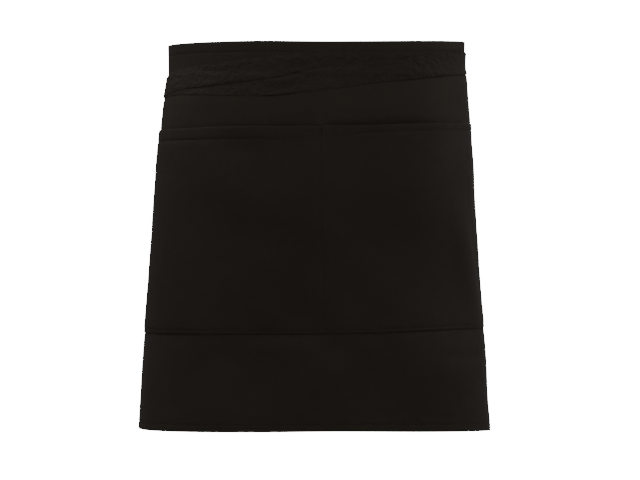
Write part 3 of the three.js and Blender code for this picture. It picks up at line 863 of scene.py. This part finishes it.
def tie_surface(side, seed):
    """A tie from its sewn end to inside the knot: its stations, their way along, and its surface."""
    route, begins = ROUTES[side]
    rounds = np.array(spaced(begins, 1.5 - 0.013 / WAIST_ROUND, 0.0022 / WAIST_ROUND))
    values = route(rounds)
    height = values[:, 0] * TAPE_WIDTH
    run_x, run_z = np.gradient(side * rounds) * WAIST_ROUND, np.gradient(height)
    size = np.hypot(run_x, run_z)
    run_x, run_z, along = run_x / size, run_z / size, np.cumsum(size)
    gathered = smooth_step((rounds - 1.5 + 0.046) / 0.03)

    def place(station, beside, depth):
        def at(values_there):
            return np.interp(station, np.arange(len(rounds)), values_there)

        share, s, gather = beside / (TAPE_WIDTH / 2), at(along), at(gathered)
        wide = at(values[:, 1])
        across = beside * wide * (1 - 0.6 * gather) + 0.25 * MM * ripples(s, 0.06, seed + 2)
        round_at = at(side * rounds) - at(run_z) * across / WAIST_ROUND
        # the ties are smooth and stand off a little where they come round the right of the front
        firm = smooth_step((np.mod(round_at, 1) - 0.085) / 0.03) * (np.mod(round_at, 1) < 0.5)
        snug = smooth_step((0.2 - np.abs(np.mod(round_at + 0.5, 1) - 0.5)) / 0.05)
        pucker = 0.13 * MM * ripples(s + beside * 0.6, 0.0075, seed) * (0.4 + 0.6 * np.cos(share * 2.2) ** 2)
        pucker *= 1 - 0.7 * firm
        pucker += 0.35 * MM * firm + 0.16 * MM * ripples(s, 0.05, seed + 1) * share
        pucker += (1 - wide) * 4.0 * MM * np.cos((share * side - 0.55) * 4)
        pucker += gather * 1.3 * MM * np.cos(share * 3 * math.pi + 0.5 * np.sin(s / 0.004))
        pucker -= EDGE_DROP * (1 - 0.75 * firm) * (1 - 0.45 * snug) * smooth_step((np.abs(share) - 0.76) / 0.24)
        pucker -= 0.35 * MM * snug
        z = at(height) + at(run_x) * across
        rise = layers_beneath(side, side * round_at, z, at(values[:, 2])) * LAYER + gather * 1.2 * MM
        return skin(round_at * ring_length(z), z, TAPE_LIFT + TAPE + rise + pucker - depth)

    return rounds, along, place


def soft_edges(piece, thickness=TAPE_WALL, width=0.22 * MM):
    thicken(piece, thickness)
    bevel = piece.modifiers.new("soft_edge", "BEVEL")
    bevel.width = width
    bevel.segments = 2
    bevel.limit_method = "ANGLE"
    bevel.angle_limit = math.radians(50)
    return piece


def tape_rows(upright):
    lines = np.array(tape_lines())
    return np.stack([lines[::-1] * upright, np.zeros(len(lines)), -lines], axis=1)


tie_places = {}
tie_pieces = {}
for side, name, node in ((-1, "tie_tape_left", "tie_left"), (1, "tie_tape_right", "tie_right")):
    rounds, along, place = tie_surface(side, 30 + 7 * side)
    stations = np.arange(len(rounds), dtype=float)
    columns = np.stack([stations if side > 0 else stations[::-1], stations * 0, along], axis=1)
    # a tie that runs towards -X has its upper edge on the other side of its run
    tie = new_piece(name, woven_grid(columns, tape_rows(side), place), TAPE_WEAVE)
    soft_edges(tie)
    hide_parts(node)
    tie_places[side], tie_pieces[side] = (rounds, along, place), tie

# The knot and its tails


def knot_place(points):
    """Points over the back of the form: aside to +X, up, and out from the form, from the knot's middle."""
    u, v, w = points[:, 0], points[:, 1], points[:, 2]
    z = KNOT_Z + v
    return skin(ring_length(z) / 2 - u, z, 3.7 * MM + w)


def smooth_path(corners, step):
    """A smooth line through corner points, evenly stepped."""
    corners = np.array(corners, float) * MM
    chord = np.concatenate([[0], np.cumsum(np.linalg.norm(np.diff(corners, axis=0), axis=1))])
    curve = curve_of(np.column_stack([chord, corners]))
    fine = curve(np.linspace(0, chord[-1], 600))
    run = np.concatenate([[0], np.cumsum(np.linalg.norm(np.diff(fine, axis=0), axis=1))])
    stops = np.linspace(0, run[-1], max(2, round(run[-1] / step)))
    return np.stack([np.interp(stops, run, fine[:, k]) for k in range(3)], axis=1), stops


def bundle(corners, half_wide, half_thick, creases, seed):
    """A gathered tape drawn along a path as a flattened, creased bundle."""
    path, along = smooth_path(corners, 0.8 * MM)
    run = np.gradient(path, axis=0)
    run /= np.linalg.norm(run, axis=1)[:, None]
    outward = np.array([0.0, 0.0, 1.0]) - run * run[:, 2:3]
    outward /= np.linalg.norm(outward, axis=1)[:, None]
    beside = np.cross(run, outward)
    around = 36

    def place(station, turn, depth):
        k = np.rint(station).astype(int)
        angle = turn * 2 * math.pi / around
        drift = 1.2 * ripples(along[k], 0.016, seed)
        crease = 1 + 0.16 * np.sin(creases * angle + drift) + 0.05 * np.sin(9 * angle - 2 * drift)
        swell = 1 + 0.1 * ripples(along[k], 0.012, seed + 1)
        flat = np.sign(np.cos(angle)) * np.abs(np.cos(angle)) ** 0.8
        wide, thick = half_wide * flat * crease * swell, half_thick * np.sin(angle) * crease * swell
        return knot_place(path[k] + beside[k] * wide[:, None] + outward[k] * thick[:, None])

    stations = np.arange(len(path), dtype=float)
    columns = np.stack([stations, stations * 0, along], axis=1)
    turns = np.arange(around + 1, dtype=float)
    rows = np.stack([turns, turns * 0, turns * 2 * (half_wide + half_thick) / around], axis=1)
    made = woven_grid(columns, rows, place)
    bmesh.ops.remove_doubles(made, verts=made.verts, dist=0.004 * MM)
    bmesh.ops.holes_fill(made, edges=[e for e in made.edges if e.is_boundary], sides=0)
    bmesh.ops.recalc_face_normals(made, faces=made.faces)
    return made


# Two tapes each make a bight: the left one's lies under the right one's legs, and the right one's
# lies over the left one's legs. In millimetres: aside, up, out
LEFT_BIGHT = [
    (-21, 0.5, 0.4), (-16, 1.5, 1.0), (-11, 3.0, 1.5), (-5, 4.6, 3.6), (0, 5.8, 5.2), (6, 6.8, 4.0),
    (10.8, 5.2, 2.0), (12.8, 0, 1.5), (10.8, -5.2, 2.0), (6, -6.8, 4.0), (0, -5.8, 5.2), (-5, -5.2, 3.6),
    (-10.5, -6.5, 1.6), (-12.5, -10.5, 1.6), (-11, -16.5, 1.8),
]
RIGHT_BIGHT = [
    (21, 0.5, 1.6), (16, 1.5, 3.4), (11, 3.0, 5.2), (5, 4.6, 3.0), (0, 5.8, 1.8), (-6, 6.8, 3.6),
    (-10.6, 5.4, 6.2), (-12.2, 0, 6.9), (-10.6, -5.4, 6.2), (-6, -6.8, 3.6), (0, -5.8, 1.8), (5, -5.2, 3.0),
    (10.5, -6.5, 5.0), (12.8, -10.5, 4.2), (11, -16.5, 3.2),
]
knot_made = bundle(LEFT_BIGHT, 4.4 * MM, 1.9 * MM, 5, 51)
right_made = bundle(RIGHT_BIGHT, 4.4 * MM, 1.9 * MM, 5, 57)
right_mesh = bpy.data.meshes.new("right_bight")
right_made.to_mesh(right_mesh)
right_made.free()
knot_made.from_mesh(right_mesh)
bpy.data.meshes.remove(right_mesh)
knot = new_piece("flat_knot", knot_made, TAPE_WEAVE)
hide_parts("tie_knot")

TAIL_LENGTH = 0.108
TAIL_END_HEM = 0.009


def tail_surface(side, seed):
    """A tail from inside the knot down to its turned end. side: -1 hangs at -X"""
    start_u, start_v, start_w = (11.0, -14.0, 1.8) if side < 0 else (11.0, -14.0, 3.2)

    def place(down, beside, depth):
        t = down / TAIL_LENGTH
        opened = smooth_step(t / 0.3)
        u = side * (start_u * MM * (1 - 0.25 * np.sin(np.pi * np.clip(t * 1.4, 0, 1))) + 15 * MM * t**2.4)
        w = start_w * MM * (1 - opened) + (0.4 if side < 0 else 1.8) * MM * opened
        w += 1.6 * MM * np.sin(t * 5.2 + side) * opened
        share = beside / (TAPE_WIDTH / 2)
        fold = (1 - opened) * 1.3 * MM * np.cos(share * 3 * math.pi)
        fold += 0.12 * MM * ripples(down + 0.5 * beside, 0.008, seed) + 0.5 * MM * share**2 * opened
        twist = 0.35 * side * np.sin(t * 3.0) * opened
        across = beside * (0.4 + 0.6 * opened)
        lean = side * 0.16 * t
        points = np.stack(
            [
                u + across * np.cos(twist) * np.cos(lean),
                start_v * MM - down + across * np.sin(lean),
                w + across * np.sin(twist) + fold - depth,
            ],
            axis=1,
        )
        return knot_place(points)

    return place


tail_places = {}
for side, name, node in ((-1, "tail_tape_left", "tail_left"), (1, "tail_tape_right", "tail_right")):
    place = tail_surface(side, 70 + side)
    downs = full_lines(spaced(0, TAIL_LENGTH - FOLD, 0.0022), 0, 0, TAIL_LENGTH, TAIL_END_HEM)
    lines = np.array(tape_lines())
    columns = np.stack([-lines, lines * 0, lines], axis=1)[::-1]
    made = woven_grid(np.stack([lines[::-1], lines * 0, lines], axis=1), downs, lambda a, d, depth, place=place: place(d, a, depth))
    tail = new_piece(name, made, TAPE_WEAVE)
    soft_edges(tail, thickness=0.55 * MM, width=0.2 * MM)
    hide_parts(node)
    tail_places[side] = place

# Stitches

STITCH_PITCH, STITCH_LENGTH, THREAD = 3.1 * MM, 2.4 * MM, 0.23 * MM
STITCH_ROOM = 4.0


def unit_rows(vectors):
    return vectors / np.linalg.norm(vectors, axis=1)[:, None]


def stitched_line(surface_line, length, pitch=STITCH_PITCH, stitch=STITCH_LENGTH, thread=THREAD):
    """A run of stitches. surface_line(places) gives points along the seam, by distance along it."""
    count = max(1, int(length / pitch))
    middles = (np.arange(count) + 0.5) * length / count
    points = surface_line(middles)
    run = unit_rows(surface_line(middles + stitch / 2) - surface_line(middles - stitch / 2))
    upright = np.abs(run[:, 2:3]) > 0.9
    beside = unit_rows(np.cross(np.where(upright, (0.0, 1.0, 0.0), (0.0, 0.0, 1.0)), run))
    outward = np.cross(run, beside)
    made = bmesh.new()
    along_x = Matrix.Rotation(math.pi / 2, 4, "Y")
    bmesh.ops.create_uvsphere(made, u_segments=6, v_segments=4, radius=1, matrix=along_x)
    if count > 1:
        whole = [*made.verts, *made.edges, *made.faces]
        step = (STITCH_ROOM, 0, 0)
        bmesh.ops.spin(made, geom=whole, axis=(1, 0, 0), dvec=step, angle=0, steps=count - 1, use_duplicate=True)
    # each copy goes to its own place on the seam
    unit = np.array([vert.co for vert in made.verts])
    k = np.rint(unit[:, 0] / STITCH_ROOM).astype(int)
    unit[:, 0] -= k * STITCH_ROOM
    unit *= (stitch / 2, thread, thread)
    spots = points[k] + run[k] * unit[:, :1] + beside[k] * unit[:, 1:2] + outward[k] * unit[:, 2:]
    for vert, spot in zip(made.verts, spots):
        vert.co = spot
    return made


def threads_piece(name, runs):
    total = bmesh.new()
    for made in runs:
        mesh = bpy.data.meshes.new("run")
        made.to_mesh(mesh)
        made.free()
        total.from_mesh(mesh)
        bpy.data.meshes.remove(mesh)
    for face in total.faces:
        face.smooth = True
    return new_piece(name, total, THREAD_BLACK)


def over(place, across=None, down=None, start=0.0, sign=1, depth=-0.06 * MM):
    """A line over a cloth surface, along it or down it."""

    def line(s):
        if down is not None:
            return place(start + sign * s, np.full_like(s, down) if not callable(down) else down(start + sign * s), depth)
        return place(np.full_like(s, across), start + sign * s, depth)

    return line


def flat_depth(surface):
    return lambda across, down, depth: surface(across, down, np.full_like(across, depth))


panel_at, pocket_at = flat_depth(panel_place), flat_depth(pocket_place)
WIDE_RUN, LONG_RUN = APRON_WIDTH - 0.004, APRON_LENGTH - 0.004
panel_runs = []
for depth in (-0.05 * MM, FOLD + 0.05 * MM):
    for seam in (TOP_STITCH, BOTTOM_STITCH):
        panel_runs.append(stitched_line(over(panel_at, down=seam, start=-WIDE_RUN / 2, depth=depth), WIDE_RUN))
    for seam in (-SIDE_STITCH, SIDE_STITCH):
        panel_runs.append(stitched_line(over(panel_at, across=seam, start=0.002, depth=depth), LONG_RUN))
panel_threads = threads_piece("panel_stitches", panel_runs)

pocket_runs = []
POCKET_RUN = 2 * POCKET_HALF - 0.006
pocket_runs.append(stitched_line(over(pocket_at, down=mouth_stitch, start=-POCKET_RUN / 2, depth=-0.05 * MM), POCKET_RUN))
for seam in SEAM_STITCHES:
    pocket_runs.append(stitched_line(over(pocket_at, down=seam, start=-POCKET_RUN / 2, depth=-0.05 * MM), POCKET_RUN))
    behind = over(panel_at, down=POCKET_TOP + seam, start=-POCKET_RUN / 2, depth=CLOTH + 0.05 * MM)
    pocket_runs.append(stitched_line(behind, POCKET_RUN))
for seam in (-POCKET_HALF + 0.002, CENTRE_SEAM, POCKET_HALF - 0.002):
    pocket_runs.append(stitched_line(over(pocket_at, across=seam, start=0.001, depth=-0.05 * MM), POCKET_HEIGHT - 0.003))
    behind = over(panel_at, across=seam, start=POCKET_TOP + 0.001, depth=CLOTH + 0.05 * MM)
    pocket_runs.append(stitched_line(behind, POCKET_HEIGHT - 0.003))
    # a close bar of stitches holds each corner of the mouth
    for k in range(9):
        low = 0.0015 + 0.001 * k
        bar = over(pocket_at, down=low, start=seam - 0.0013, depth=-0.08 * MM)
        pocket_runs.append(stitched_line(bar, 0.0026, pitch=0.0026, stitch=2.6 * MM, thread=0.3 * MM))
pocket_threads = threads_piece("pocket_stitches", pocket_runs)

tape_runs = []
for side in (-1, 1):
    rounds, along, place = tie_places[side]

    def on_tie(s, beside, along=along, place=place):
        stations = np.interp(along[0] + s, along, np.arange(len(along)))
        return place(stations, beside, np.full_like(s, -0.1 * MM))

    corners = [(0.002, -0.0095), (0.0235, -0.0095), (0.0235, 0.0095), (0.002, 0.0095), (0.002, -0.0095), (0.0235, 0.0095)]
    corners += [(0.0235, -0.0095), (0.002, 0.0095)]
    for (s0, b0), (s1, b1) in zip(corners, corners[1:]):
        length = math.hypot(s1 - s0, b1 - b0)

        def line(s, s0=s0, b0=b0, s1=s1, b1=b1, length=length, on_tie=on_tie):
            share = s / length
            return on_tie(s0 + (s1 - s0) * share, b0 + (b1 - b0) * share)

        tape_runs.append(stitched_line(line, length))

    def across_tail(s, place=tail_places[side]):
        return place(np.full_like(s, TAIL_LENGTH - 0.007), s - 0.0115, np.full_like(s, -0.06 * MM))

    tape_runs.append(stitched_line(across_tail, 0.023))
tape_threads = threads_piece("tape_stitches", tape_runs)
